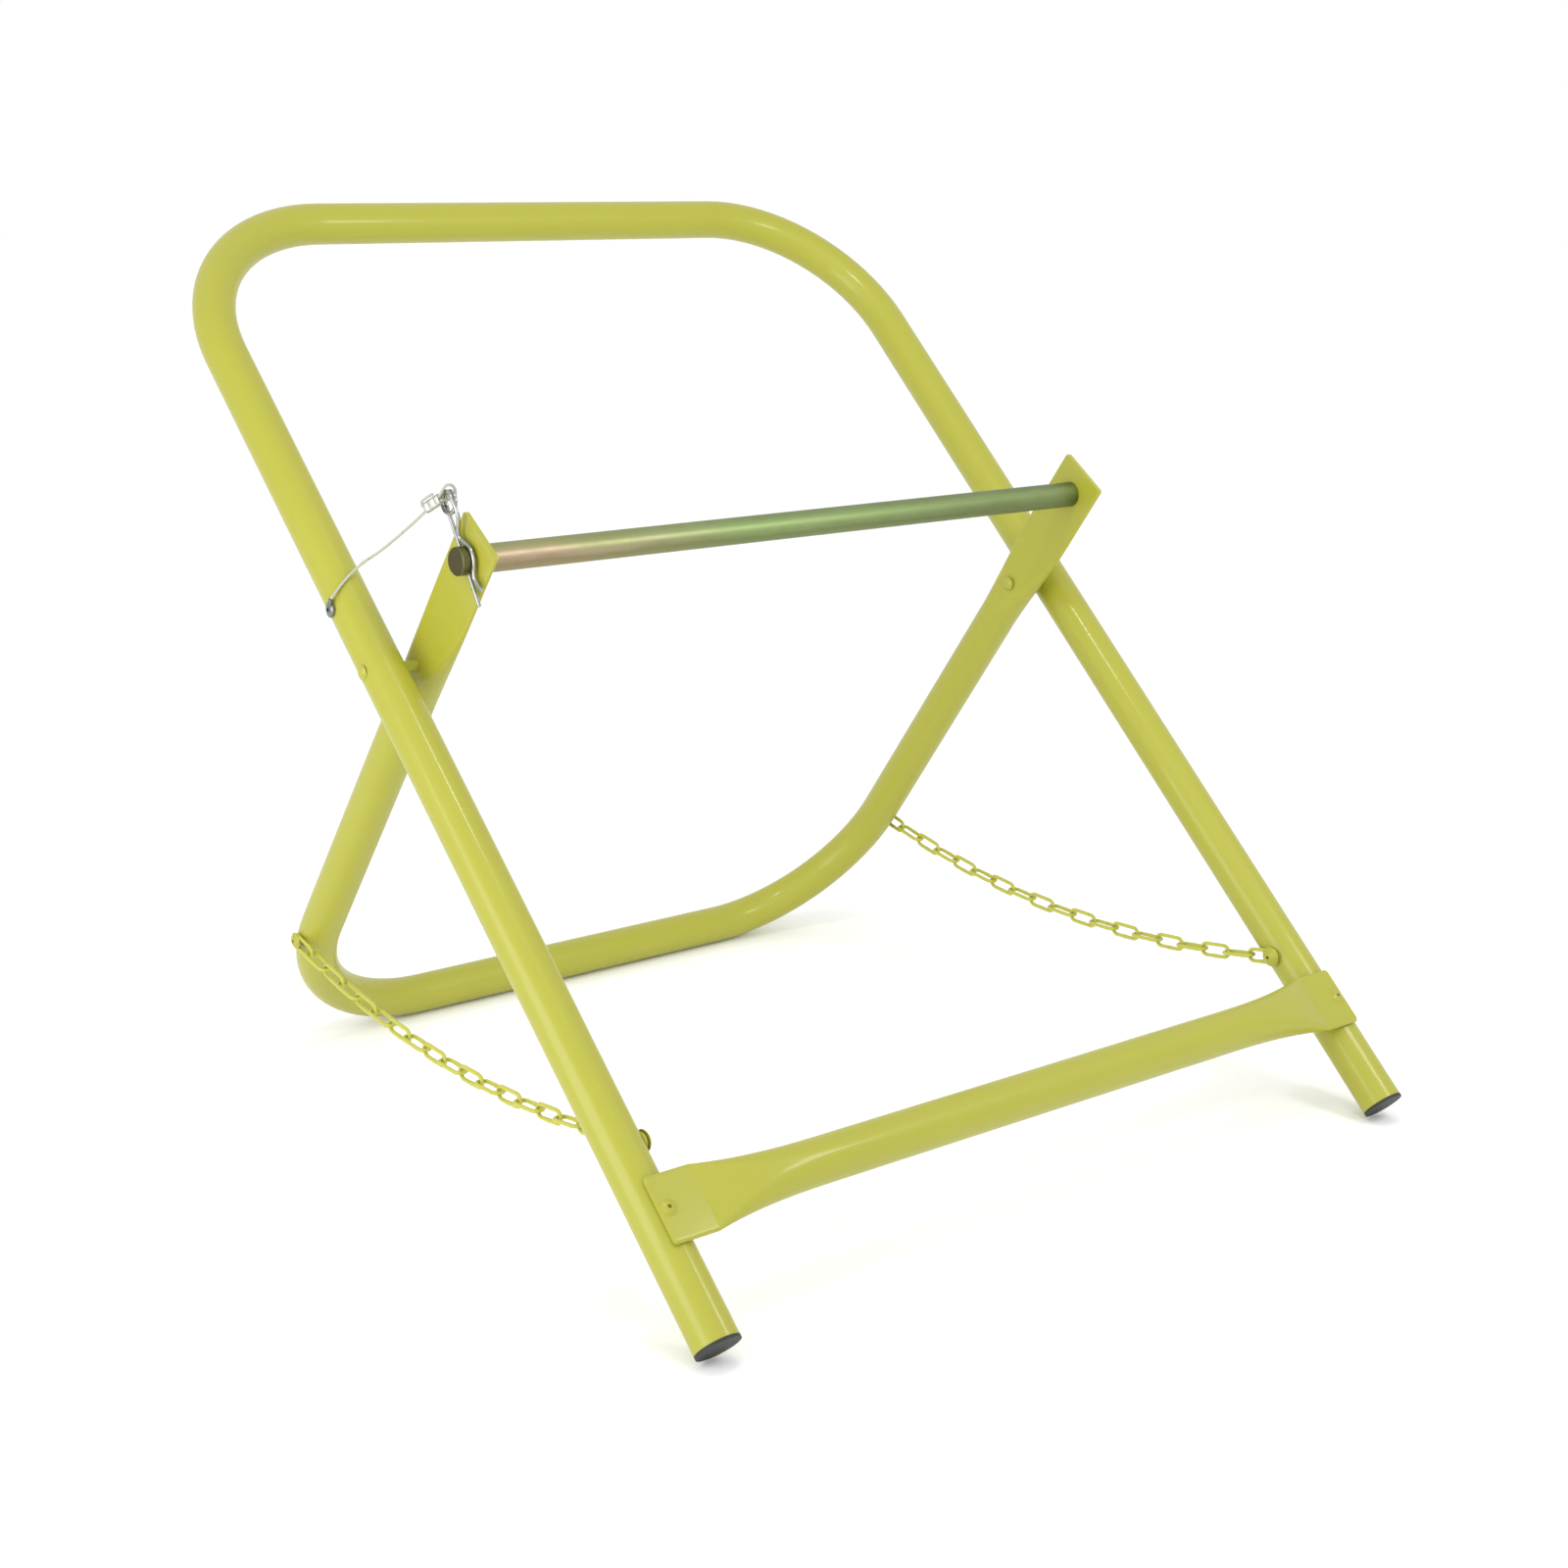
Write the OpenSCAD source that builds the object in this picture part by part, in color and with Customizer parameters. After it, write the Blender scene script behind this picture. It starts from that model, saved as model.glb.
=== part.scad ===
// Folding cable caddy: two bent-tube frames cross at a pair of rivets and carry an axle for cable reels.
// The tall main frame stands on its two plugged feet, the short reel frame stands on its bottom bar,
// and two link chains stop the frames from opening further. The left end of the axle is held by a spring clip.
// X runs across the caddy, Y from the feet to the back, Z up. The origin is the middle of the floor print.

/* [Tube] */
// Outside diameter of the frame tube
tube_d = 25.4; // [19:0.1:32]
// Wall of the frame tube
tube_wall = 1.5; // [1:0.1:2.4]
// Centreline radius of the four frame bends
bend_r = 105; // [85:1:120]

/* [Main frame] */
// Distance between the centrelines of the two long legs
main_w = 518; // [440:1:640]
// Foot end to the centreline of the top bar, along the leg
main_len = 757; // [700:1:900]
// Slope of the long legs from the floor, in degrees
main_angle = 41.7; // [38:0.1:44]
// Foot end to the pivot, along the leg
pivot_s = 418.7; // [400:0.1:430]

/* [Reel frame] */
// Free gap between a long leg and the short leg beside it
leg_gap = 4; // [3.5:0.1:8]
// Centreline of the bottom bar to the pivot, along the leg
pivot_t = 333.2; // [320:0.1:345]
// Pivot to the centre of the axle, along the leg
axle_rise = 79.7; // [74:0.1:95]
// Centre of the axle to the square-cut end of the plate
plate_end = 18.8; // [14:0.1:30]
// Centre of the axle down to where the plate starts to swell
plate_run = 32; // [20:1:36]
// Length over which the round leg is pressed flat
press_len = 82; // [60:1:100]
// Radius on the corners of the pressed ends
corner_r = 2.5; // [1:0.1:5]

/* [Crossbar] */
// Foot end to the centreline of the crossbar, along the leg
cross_s = 71; // [50:0.5:85]
// Length of each crossbar end past the centreline of its leg
cross_over = 5; // [4:0.1:10]
// Length of each pressed end
cross_flat = 27.3; // [16:0.1:40]
// Length over which the crossbar swells back to round
cross_press = 88; // [40:1:110]

/* [Axle] */
// Diameter of the axle
axle_d = 15.9; // [12:0.1:17]
// Radial play of the axle in its two plates
axle_play = 0.09; // [0.03:0.01:0.1]
// Length of the axle past the left plate
axle_stub = 8.5; // [7:0.1:20]
// Diameter of the axle head outside the right plate
axle_head_d = 22; // [19:0.5:26]
// Thickness of the axle head
axle_head_h = 3.5; // [2:0.1:5]
// End play between the axle head and the right plate
axle_end_play = 0.5; // [0.3:0.1:1]

/* [Rivets] */
// Shank diameter of the pivot rivets
pivot_d = 6.4; // [5:0.1:8]
// Head diameter of the pivot rivets
pivot_head_d = 9; // [8.5:0.1:14]
// Head height of the pivot rivets
pivot_head_h = 1.9; // [1.5:0.1:3.5]
// Radial play of the reel frame on its pivot rivets
pivot_play = 0.08; // [0.03:0.01:0.1]
// Shank diameter of the blind rivets
blind_d = 4.8; // [3.2:0.1:5]
// Head diameter of the blind rivets
blind_head_d = 9.5; // [8:0.1:12]
// Head height of the blind rivets
blind_head_h = 1.6; // [1:0.1:2]
// Bore left in a blind rivet where its pin broke off
blind_bore = 2.2; // [1:0.1:2.6]
// Head diameter of the rivets that hold the chains at the front
front_head_d = 12.5; // [11:0.1:16]
// Head height of the rivets that hold the chains at the front
front_head_h = 3.2; // [2:0.1:4]
// Head diameter of the rivets that hold the chains at the rear
rear_head_d = 10.5; // [9.5:0.1:12]
// Head height of the rivets that hold the chains at the rear
rear_head_h = 2; // [1:0.1:2.2]

/* [Chains] */
// Wire diameter of a link
link_wire = 2.4; // [2:0.1:2.6]
// Outside width of a link
link_w = 10; // [9.8:0.1:12]
// Pitch of the chain
link_pitch = 19.6; // [16:0.1:24]
// Play between two links that pull on each other
link_play = 0.2; // [0.1:0.05:0.5]
// Foot end to the front chain rivet, along the long leg
chain_s = 113.5; // [102:0.5:125]
// Centreline of the bottom bar to the rear chain rivet, along the short leg
chain_t = 91; // [80:1:96]

/* [Spring clip] */
// Wire diameter of the clip
clip_wire = 2.3; // [1.8:0.1:2.8]
// Slope of the clip's straight leg from the floor, in degrees
clip_angle = 57; // [50:1:70]
// Mean radius of the clip's coil
coil_r = 6; // [5:0.1:7]
// Centre of the axle to the middle of the coil, along the straight leg
coil_u = 31.8; // [29:0.1:36]
// Centre of the axle to the tip of the straight leg
clip_tip = 26.8; // [22:0.1:32]
// Outer face of the left plate to the middle of the straight leg
clip_off = 2.5; // [2:0.1:3.5]
// Radial play of the straight leg in the hole through the axle
clip_play = 0.1; // [0.05:0.01:0.1]

/* [Lanyard] */
// Diameter of the coated cable
cable_d = 1.6; // [1.2:0.1:2]
// Foot end to the lanyard rivet, along the left long leg
eyelet_s = 463; // [455:1:472]
// Thickness of the stamped eyelet
eyelet_t = 0.9; // [0.6:0.1:1.2]
// Outside diameter of the eyelet ring
eyelet_d = 9; // [8:0.1:11]
// Diameter of the lanyard rivet's head
lanyard_head_d = 7.4; // [6.4:0.1:7.6]
// Height of the lanyard rivet's head
lanyard_head_h = 1.2; // [0.8:0.1:1.6]
// Length of the crimped ferrule
ferrule_len = 10.6; // [8:0.1:12]

/* [Foot plugs] */
// Thickness of the plug flange under the tube end
plug_flange = 1.8; // [1.2:0.1:3]
// Depth of the plug inside the tube
plug_depth = 15; // [10:1:25]
// Number of grip ribs round the plug
plug_ribs = 4; // [2:1:6]

/* [Hidden] */
$fn = 64;

paint = [0.80, 0.79, 0.27];
zinc = [0.78, 0.79, 0.80];
gold_zinc = [0.66, 0.62, 0.40];
black = [0.16, 0.16, 0.15];
clear_grey = [0.80, 0.82, 0.76];

seat = 0.05;        // gap between pieces of one body that bear on each other
over = 0.5;         // overlap of the parts that a solid is built from
tuck = 0.04;        // how far a pressed end lies inside the tube and the flat that it joins
tube_r = tube_d / 2;
bore_r = tube_r - tube_wall;
flat_t = 2 * tube_wall;                     // both walls pressed together
flat_w = flat_t + PI * (tube_d - flat_t) / 2;   // same girth as the round tube

// Standing position of the two frames, seen from the side
foot_z = tube_r * cos(main_angle);
pivot_z = foot_z + pivot_s * sin(main_angle);
reel_angle = asin((pivot_z - tube_r) / pivot_t);
front_y = -tube_r * sin(main_angle);
rear_y = main_len * cos(main_angle) + tube_r;
foot_y = -(front_y + rear_y) / 2;
pivot_y = foot_y + pivot_s * cos(main_angle);
bar_y = pivot_y + pivot_t * cos(reel_angle);
reel_w = main_w - 2 * (tube_d + leg_gap);
axle_t = pivot_t + axle_rise;
press_t1 = axle_t - plate_run;
press_t0 = press_t1 - press_len;
plate_out = reel_w / 2 + flat_t / 2;

// Side-view points, as [y, z], on a long leg, on a short leg and at the axle
function on_main(s) = [foot_y + s * cos(main_angle), foot_z + s * sin(main_angle)];
function on_reel(t) = [bar_y - t * cos(reel_angle), tube_r + t * sin(reel_angle)];
axle_yz = on_reel(axle_t);

// Thickness of the pressed short leg: from round at 0 to flat at 1, with no crease
function press_soft(q) = tube_d + (flat_t - tube_d) * q * q * (3 - 2 * q);
// Thickness of the pressed crossbar: a crease at 0, then swelling ever more slowly to round at 1
swell = 2.8;
function press_crease(q) = tube_d - (tube_d - flat_t) * pow(1 - q, swell);
pivot_q = (pivot_t - press_t0) / press_len;
pivot_half = press_soft(max(0, pivot_q - pivot_head_d / 2 / press_len)) / 2;

// Chain: its end rivets, its own length and the arc on which it hangs
link_in = link_pitch + link_play;           // inside length of a link
link_len = link_in + 2 * link_wire;
end_off = link_in / 2 - blind_d / 2 - link_play / 2;
front_yz = on_main(chain_s);
rear_yz = on_reel(chain_t);
// Outer face of the short leg at distance t from the bottom bar, round the bend
function reel_face(t) = t >= bend_r ? reel_w / 2 + tube_r
  : reel_w / 2 - bend_r + sqrt(pow(bend_r + tube_r, 2) - pow(bend_r - t, 2));
front_x = main_w / 2 - tube_r - link_wire / 2 - seat;
rear_x = reel_face(chain_t + link_w / 2) + link_wire / 2 + seat;
chord = norm(rear_yz - front_yz);
chord_angle = atan2(rear_yz[1] - front_yz[1], rear_yz[0] - front_yz[0]);
min_slack = 1.006;                          // shortest chain against the straight line
half_links = ceil((chord * min_slack - 2 * end_off) / link_pitch / 2);
link_count = 2 * half_links + 1;
chain_len = 2 * end_off + (link_count - 1) * link_pitch;
// sin(h) / h = chord / chain_len, solved from the first terms of its series
arc_half = sqrt(10 - sqrt(100 - 120 * (1 - chord / chain_len))) * 180 / PI;
arc_r = chain_len / (2 * arc_half * PI / 180);
// First link of the second, third and fourth group
group_2 = 2 * round(link_count / 8) + 1;
group_3 = 2 * round(link_count / 4);
group_4 = link_count - group_2;

// Clip frame: u runs up the straight leg, v away from it over the front of the axle
clip_x = plate_out + clip_off;
function clip_point(u, v, x) = [-clip_x - x, axle_yz[0] + u * cos(clip_angle) - v * sin(clip_angle),
  axle_yz[1] + u * sin(clip_angle) + v * cos(clip_angle)];
coil_step = clip_wire + 0.15;               // sideways advance in one turn of the coil
coil_turns = 1.5;
wave_v = axle_d / 2 + clip_wire / 2 + 0.15; // middle of the bent leg over the axle
// Bent leg below the coil, as [u, v]: bulge, first pinch, wave over the axle, second pinch and flared end
bent_leg = [[26, 2 * coil_r + 0.4], [20.5, 10.4], [15.5, 5.4], [12.2, 3.6], [8.6, 5.6], [4.4, wave_v - 0.9],
  [0, wave_v + 0.1], [-4.4, wave_v - 0.9], [-8.6, 5.4], [-12.4, 3.8], [-16, 5], [-20.5, 7.2]];

// Lanyard: eyelet on the long leg, ferrule beside the coil, and round points of the cable between them
eyelet_at = [-main_w / 2 - tube_r - seat, on_main(eyelet_s)[0], on_main(eyelet_s)[1]];
barrel_low = eyelet_at + [-1.15, -1.15, 3.4];
barrel_high = eyelet_at + [-1.05, -2.2, 6.4];
barrel_wall = 0.55;
lead = 0.8;                                 // straight start of the cable where it leaves a crimp
// Cable against the leg, as [degrees round it, distance from its surface, distance up the leg from the rivet]
cable_wrap = [[57, 2.3, 3.5], [39, 1.5, 6.3], [18, 1.5, 9.5], [0, 2.5, 12.1], [-14, 9, 13.8]];
// Free cable between the leg and the ferrule, as [share of the way, sag]
cable_free = [[0.29, 1.4], [0.54, 1.4], [0.78, 0.9]];
function round_leg(p) = [-main_w / 2 - (tube_r + p[1]) * sin(p[0]),
  on_main(eyelet_s + p[2])[0] - (tube_r + p[1]) * cos(p[0]) * sin(main_angle),
  on_main(eyelet_s + p[2])[1] + (tube_r + p[1]) * cos(p[0]) * cos(main_angle)];
coil_mid = clip_point(coil_u, coil_r, coil_step * coil_turns / 2);
ferrule_dir = unit([0.27, -0.8, 0.54]);
ferrule_side = unit(cross(cross(ferrule_dir, [0, 0, 1]), ferrule_dir));
ferrule_high = coil_mid + [-4.95, 0.95, 0.9];
ferrule_low = ferrule_high - ferrule_len * ferrule_dir;
leave_leg = round_leg(cable_wrap[len(cable_wrap) - 1]);
cable_points = concat([for (p = cable_wrap) round_leg(p)],
  [for (p = cable_free) leave_leg + p[0] * (ferrule_low - leave_leg) - [0, 0, p[1]]]);
ferrule_lobe = 1.5 * cable_d;               // between the two bores of the ferrule
ferrule_wall = 0.9;
// End loop round the coil, seen from the middle of the coil
end_loop = [[-1.5, 0.4, 1.6], [3.4, 0.8, 1.8], [5, 1.3, 5.4], [3.2, 1.6, 8.7], [-1.2, 1.2, 8.9]];
// Short tail beside the ferrule: distance along it and away from it
tail_d = 0.9 * cable_d;
tail = [[-lead, 0], [-1.7, 0.6], [-2, 2], [-0.5, 3.3], [4, 3.5], [8, 3.2]];

function unit(v) = v / norm(v);
function curve_at(a, b, c, d, q) = 0.5 * (2 * b + (c - a) * q + (2 * a - 5 * b + 4 * c - d) * q * q
  + (3 * b - a - 3 * c + d) * q * q * q);
// Smooth curve through the points p, with n steps from each point to the next
function curve(p, n) = concat([for (i = [0:len(p) - 2], k = [0:n - 1])
  curve_at(p[max(i - 1, 0)], p[i], p[i + 1], p[min(i + 2, len(p) - 1)], k / n)], [p[len(p) - 1]]);

// Closed skin over rings of points that turn the same way as the skin advances
module skin(rings) {
  n = len(rings[0]);
  m = len(rings);
  points = [for (ring = rings) each ring];
  sides = [for (i = [0:m - 2], k = [0:n - 1]) let (a = i * n + k, b = i * n + (k + 1) % n)
    each [[a, a + n, b + n], [a, b + n, b]]];
  ends = [[for (k = [0:n - 1]) k], [for (k = [n - 1:-1:0]) (m - 1) * n + k]];
  polyhedron(points, concat(sides, ends), convexity = 10);
}

// Round wire of radius r along a path; across is a direction that the path never runs along
module wire(path, r, sides, across) {
  last = len(path) - 1;
  skin([for (i = [0:last]) let (t = unit(path[min(i + 1, last)] - path[max(i - 1, 0)]),
    s = unit(cross(t, across)), u = cross(t, s))
    [for (k = [0:sides - 1]) path[i] + r * (cos(360 * k / sides) * s + sin(360 * k / sides) * u)]]);
}

// One ring of a pressed tube, h thick along x and w wide along y, at height z
function pressed_ring(h, w, z, n = 32) = [for (k = [0:n - 1]) let (a = 360 * (k + 0.5) / n)
  [h / 2 * cos(a), h / 2 * sin(a) + sign(sin(a)) * (w - h) / 2, z]];
function girth_w(h) = h + PI * (tube_d - h) / 2;
// Rings of a pressed end from its round end at z = 0 to its flat end at z = len: thick lists [thickness, share of
// len]. The skin dips a little way into the round tube and into the flat, and the bore stops where it closes.
function skin_rings(thick, len) = concat(
  [pressed_ring(tube_d - tuck, tube_d - tuck, -over)],
  [for (h = thick) pressed_ring(h[0] - tuck, girth_w(h[0]) - tuck, h[1] * len)],
  [pressed_ring(flat_t - 8 * tuck, flat_w - 8 * tuck, len + over)]);
function bore_rings(thick, len) = concat(
  [pressed_ring(2 * bore_r - tuck, 2 * bore_r - tuck, -over)],
  [for (h = thick) if (h[0] > flat_t + 0.5) pressed_ring(h[0] - flat_t, girth_w(h[0]) - flat_t, h[1] * len)]);

// The flat itself along z, with its two end corners rounded in short facets
module pressed_flat(len) {
  facets = 5;
  step = 90 / (facets + 1);
  middle = flat_w / 2 - corner_r;
  side = concat(
    [[flat_w / 2 + 1, -over],
      [flat_w / 2 + 1, len - corner_r + (corner_r - (corner_r + 1) * cos(step)) / sin(step)]],
    [for (i = [1:facets - 1]) let (a = (i + 0.5) * step)
      [middle, len - corner_r] + corner_r / cos(step / 2) * [cos(a), sin(a)]],
    [[middle + corner_r * (1 - cos(step)) / sin(step), len]]);
  intersection() {
    linear_extrude(len) {
      square([flat_t, flat_w - flat_t], center = true);
      for (end = [-1, 1]) translate([0, end * (flat_w - flat_t) / 2]) circle(d = flat_t);
    }
    rotate([90, 0, 90]) linear_extrude(tube_d, center = true)
      polygon(concat(side, [for (i = [len(side) - 1:-1:0]) [-side[i][0], side[i][1]]]));
  }
}

// Bent tube in its own plane: two legs that start at y = from, bends, and a bar at y = to
module bent_tube(width, from, to, r) {
  turn = to > from ? 1 : -1;
  y0 = min(from, to - turn * bend_r);
  y1 = max(from, to - turn * bend_r);
  for (side = [-1, 1]) {
    translate([side * width / 2, y0, 0]) rotate([-90, 0, 0]) cylinder(h = y1 - y0, r = r);
    translate([side * (width / 2 - bend_r), to - turn * bend_r, 0])
      rotate([0, 0, side > 0 ? (turn > 0 ? 0 : -90) : (turn > 0 ? 90 : 180)])
        rotate_extrude(angle = 90) translate([bend_r, 0]) circle(r = r);
  }
  translate([-width / 2 + bend_r, to, 0]) rotate([0, 90, 0]) cylinder(h = width - 2 * bend_r, r = r);
}

// Places its children in the plane of a frame: y up along the legs from the foot end or the bottom bar
module in_main() { translate([0, foot_y, foot_z]) rotate([main_angle, 0, 0]) children(); }
module in_reel() { translate([0, bar_y, tube_r]) rotate([180 - reel_angle, 0, 0]) children(); }

// Low dome of diameter d and height h standing on z = 0
module dome(d, h) {
  ball_r = (d * d / 4 + h * h) / (2 * h);
  rotate_extrude() intersection() {
    translate([0, h - ball_r]) circle(r = ball_r, $fn = 128);
    square([d / 2, h]);
  }
}

// Blind rivet along -z from a head at z = 0: grip is what it clamps, and the tail swells beyond it
module blind_rivet(head_d, head_h, grip) {
  difference() {
    union() {
      dome(head_d, head_h);
      translate([0, 0, -grip - blind_tail]) cylinder(h = grip + blind_tail + over, d = blind_d);
      translate([0, 0, -grip - blind_tail]) cylinder(h = blind_tail, r = blind_tail_r);
    }
    translate([0, 0, -grip - blind_tail - over])
      cylinder(h = grip + blind_tail + head_h + 2 * over, d = blind_bore);
  }
}
blind_tail = 2.6;                           // length of the closed tail
blind_tail_r = blind_d / 2 + 0.8;
// What a blind rivet clamps when its tail closes inside a tube, past the curve of the bore
tube_grip = tube_wall + bore_r - sqrt(bore_r * bore_r - blind_tail_r * blind_tail_r) + seat;

module link() {
  off = (link_w - link_wire) / 2;
  straight = link_len - link_w;
  for (side = [-1, 1]) {
    translate([side * off, -straight / 2, 0]) rotate([-90, 0, 0]) cylinder(h = straight, d = link_wire);
    translate([0, side * straight / 2, 0]) rotate([0, 0, side > 0 ? 0 : 180])
      rotate_extrude(angle = 180) translate([off, 0]) circle(d = link_wire);
  }
}

// Links first to last of the chain on one side, each turned a quarter against its neighbour
module chain(side, first, last) {
  middle = (front_yz + rear_yz) / 2;
  centre = middle + arc_r * cos(arc_half) * [-sin(chord_angle), cos(chord_angle)];
  color(paint) for (k = [first:last]) {
    along = end_off + k * link_pitch;
    swing = chord_angle + (along / arc_r) * 180 / PI - arc_half;
    at = centre + arc_r * [sin(swing), -cos(swing)];
    x = front_x + (rear_x - front_x) * k / (link_count - 1);
    translate([side * x, at[0], at[1]]) rotate([swing, 0, 0]) rotate([0, k % 2 == 0 ? 90 : 0, 0]) link();
  }
}

module main_frame() {
  color(paint) in_main() difference() {
    bent_tube(main_w, plug_flange, main_len, tube_r);
    bent_tube(main_w, plug_flange - over, main_len, bore_r);
    for (side = [-1, 1]) {
      translate([side * main_w / 2, pivot_s, 0]) rotate([0, 90, 0])
        cylinder(h = tube_d + 2 * over, d = pivot_d + 2 * seat, center = true);
      translate([side * main_w / 2, cross_s, 0]) cylinder(h = tube_d, d = blind_d + 2 * seat);
      translate([side * (main_w / 2 - tube_d), chain_s, 0]) rotate([0, side * 90, 0])
        cylinder(h = tube_d, d = blind_d + 2 * seat);
    }
    translate([-main_w / 2, eyelet_s, 0]) rotate([0, -90, 0]) cylinder(h = tube_d, d = blind_d + 2 * seat);
  }
}

module reel_frame() {
  steps = 10;
  thick = [for (i = [1:steps]) [press_soft(i / steps), i / steps]];
  color(paint) in_reel() difference() {
    union() {
      bent_tube(reel_w, press_t0, 0, tube_r);
      for (side = [-1, 1]) translate([side * reel_w / 2, press_t0, 0]) rotate([-90, 0, 0]) {
        skin(skin_rings(thick, press_len));
        translate([0, 0, press_len]) pressed_flat(plate_run + plate_end);
      }
    }
    bent_tube(reel_w, press_t0, 0, bore_r);
    for (side = [-1, 1]) {
      translate([side * reel_w / 2, press_t0, 0]) rotate([-90, 0, 0]) skin(bore_rings(thick, press_len));
      translate([side * reel_w / 2, pivot_t, 0]) rotate([0, 90, 0])
        cylinder(h = tube_d, d = pivot_d + 2 * pivot_play, center = true);
      translate([side * reel_w / 2, axle_t, 0]) rotate([0, 90, 0])
        cylinder(h = tube_d, d = axle_d + 2 * axle_play, center = true);
      translate([side * (reel_face(chain_t) - tube_r), chain_t, 0]) rotate([0, side * 90, 0])
        cylinder(h = tube_d, d = blind_d + 2 * seat);
    }
  }
}

module crossbar() {
  steps = 9;
  half = main_w / 2 + cross_over;
  crease = half - cross_flat;
  round_half = crease - cross_press;
  thick = [for (i = [steps - 1:-1:0]) let (q = pow(i / steps, 1.4)) [press_crease(q), 1 - q]];
  color(paint) in_main() translate([0, cross_s, tube_r + seat + flat_t / 2]) difference() {
    union() {
      rotate([0, 90, 0]) cylinder(h = 2 * round_half, r = tube_r, center = true);
      for (side = [-1, 1]) rotate([0, side * 90, 0]) {
        translate([0, 0, round_half]) skin(skin_rings(thick, cross_press));
        translate([0, 0, crease]) pressed_flat(cross_flat);
      }
    }
    rotate([0, 90, 0]) cylinder(h = 2 * round_half, r = bore_r, center = true);
    for (side = [-1, 1]) {
      rotate([0, side * 90, 0]) translate([0, 0, round_half]) skin(bore_rings(thick, cross_press));
      translate([side * main_w / 2, 0, 0]) cylinder(h = tube_d, d = blind_d + 2 * seat, center = true);
    }
  }
}

module crossbar_rivets() {
  color(paint) in_main() for (side = [-1, 1])
    translate([side * main_w / 2, cross_s, tube_r + flat_t + 2 * seat])
      blind_rivet(blind_head_d, blind_head_h, flat_t + 2 * seat + tube_grip);
}

// Pivot rivet on one side: head outside the long leg, shank through both legs, formed head inside the short leg
module pivot_rivet(side) {
  outer = main_w / 2 + tube_r + seat;
  inner = reel_w / 2 - pivot_half - pivot_play;
  color(paint) translate([0, pivot_y, pivot_z]) mirror([side < 0 ? 1 : 0, 0, 0]) {
    translate([outer, 0, 0]) rotate([0, 90, 0]) dome(pivot_head_d, pivot_head_h);
    translate([inner - over, 0, 0]) rotate([0, 90, 0]) cylinder(h = outer - inner + 2 * over, d = pivot_d);
    translate([inner, 0, 0]) rotate([0, -90, 0]) dome(pivot_head_d, pivot_head_h);
  }
}
module pivot_rivet_left() { pivot_rivet(-1); }
module pivot_rivet_right() { pivot_rivet(1); }

// Push-in foot plug: a flange under the tube end, a hollow stem and grip ribs that touch the bore
module foot_plug(side) {
  stem_r = bore_r - 1;
  rib_r = bore_r - seat;
  rib_t = 1;
  rib_step = (plug_depth - 2) / plug_ribs;
  wall = 2;
  color(black) in_main() translate([side * main_w / 2, 0, 0]) rotate([-90, 0, 0]) difference() {
    union() {
      cylinder(h = plug_flange - seat, r = tube_r);
      cylinder(h = plug_flange + plug_depth, r = stem_r);
      for (i = [0:plug_ribs - 1]) translate([0, 0, plug_flange + 1 + i * rib_step]) cylinder(h = rib_t, r = rib_r);
    }
    translate([0, 0, plug_flange + wall]) cylinder(h = plug_depth, r = stem_r - wall);
  }
}
module foot_plug_left() { foot_plug(-1); }
module foot_plug_right() { foot_plug(1); }

module axle() {
  left = -plate_out - axle_stub;
  right = plate_out + axle_end_play;
  chamfer = 0.8;
  color(gold_zinc) translate([0, axle_yz[0], axle_yz[1]]) difference() {
    rotate([0, 90, 0]) rotate_extrude() polygon([[0, left], [axle_d / 2 - chamfer, left],
      [axle_d / 2, left + chamfer], [axle_d / 2, right], [axle_head_d / 2 - chamfer, right],
      [axle_head_d / 2, right + chamfer], [axle_head_d / 2, right + axle_head_h - chamfer],
      [axle_head_d / 2 - chamfer, right + axle_head_h], [0, right + axle_head_h]]);
    translate([-clip_x, 0, 0]) rotate([clip_angle, 0, 0]) rotate([90, 0, 0])
      cylinder(h = 2 * axle_d, d = clip_wire + 2 * clip_play, center = true);
  }
}

// Spring clip bent from one wire: straight leg through the axle, coil, and the bent leg over the axle
module hitch_clip() {
  coil_steps = 20;
  straight = [for (u = [-clip_tip, -clip_tip / 2, 0, coil_u / 3, coil_u * 2 / 3]) clip_point(u, 0, 0)];
  coil = [for (i = [0:coil_steps]) let (a = i / coil_steps * 360 * coil_turns)
    clip_point(coil_u + coil_r * sin(a), coil_r * (1 - cos(a)), coil_step * a / 360)];
  bent = curve([for (i = [0:len(bent_leg) - 1])
    clip_point(bent_leg[i][0], bent_leg[i][1], coil_step * coil_turns * max(0, 1 - (i + 1) / 5))], 3);
  color(zinc) wire(concat(straight, coil, bent), clip_wire / 2, 10, [1, 0, 0]);
}

module lanyard_cable() {
  start = unit(barrel_high - barrel_low);
  free = concat([barrel_high + lead * start], cable_points, [ferrule_low - lead * ferrule_dir]);
  color(clear_grey)
    wire(concat([barrel_high], curve(free, 4), [ferrule_low - seat * ferrule_dir]), cable_d / 2, 8, [1, 0, 0]);
}

// End loop of the cable round the coil and back into the ferrule, and the short tail that turns over outside it
module lanyard_end_loop() {
  back = ferrule_lobe * ferrule_side;
  round_coil = concat([ferrule_high + lead * ferrule_dir], [for (p = end_loop) coil_mid + p],
    [ferrule_high + back + lead * ferrule_dir]);
  turn = [for (p = tail) ferrule_low + back + p[0] * ferrule_dir + p[1] * ferrule_side];
  color(clear_grey) {
    wire(concat([ferrule_high + seat * ferrule_dir], curve(round_coil, 4), [ferrule_high + back
      + seat * ferrule_dir]), cable_d / 2, 8, [0, 1, 0]);
    wire(concat([ferrule_low + back - seat * ferrule_dir], curve(turn, 3)), tail_d / 2, 8,
      cross(ferrule_dir, ferrule_side));
  }
}

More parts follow.
